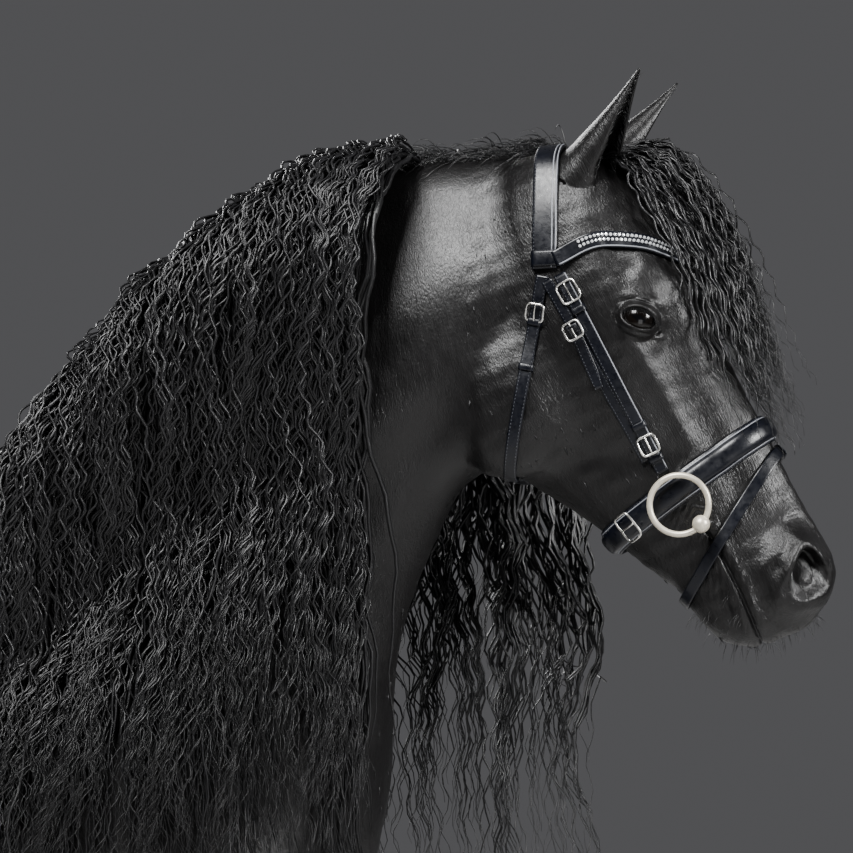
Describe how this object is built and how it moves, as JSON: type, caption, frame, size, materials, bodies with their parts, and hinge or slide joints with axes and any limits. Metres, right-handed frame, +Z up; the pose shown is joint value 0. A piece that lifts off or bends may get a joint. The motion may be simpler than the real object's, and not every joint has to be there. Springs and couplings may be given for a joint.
{
  "type": "friesian horse",
  "caption": "Standing Friesian horse at life size with long wavy mane, feathered feet and a dressage bridle without reins.",
  "frame": {"origin": "on the floor under the middle of the horse's bounding box", "axes": "+X towards the horse's nose, +Y towards its left side, +Z up"},
  "size_m": [2.3748, 0.6454, 2.2493],
  "materials": {
    "coat": "short glossy black coat over muscle, soft sheen",
    "long_hair": "long black waved hair",
    "hoof_horn": "dark horn, faint rings",
    "eye_glass": "wet dark brown eye",
    "leather": "blue-black patent and stitched bridle leather",
    "buckle_metal": "polished steel",
    "bit_metal": "warm pale satin metal"
  },
  "bodies": {
    "root": {"bit_mouthpiece": "bit_metal", "bit_ring_left": "bit_metal", "bit_ring_right": "bit_metal", "browband": "leather", "cheekpiece_left": "leather", "cheekpiece_right": "leather", "ear_left": "coat", "ear_right": "coat", "eye_left": "eye_glass", "eye_right": "eye_glass", "flash_strap": "leather", "forefoot_left": "coat", "forefoot_right": "coat", "foreleg_left": "coat", "foreleg_right": "coat", "head": "coat", "headpiece": "leather", "hindfoot_left": "coat", "hindfoot_right": "coat", "hindleg_left": "coat", "hindleg_right": "coat", "hoof_fore_left": "hoof_horn", "hoof_fore_right": "hoof_horn", "hoof_hind_left": "hoof_horn", "hoof_hind_right": "hoof_horn", "lower_buckle_left": "buckle_metal", "lower_buckle_right": "buckle_metal", "neck": "coat", "noseband": "leather", "noseband_hanger_left": "leather", "noseband_hanger_right": "leather", "tail": "long_hair", "throatlatch": "leather", "torso": "coat", "upper_buckle_left": "buckle_metal", "upper_buckle_right": "buckle_metal"}
  },
  "joints": []
}
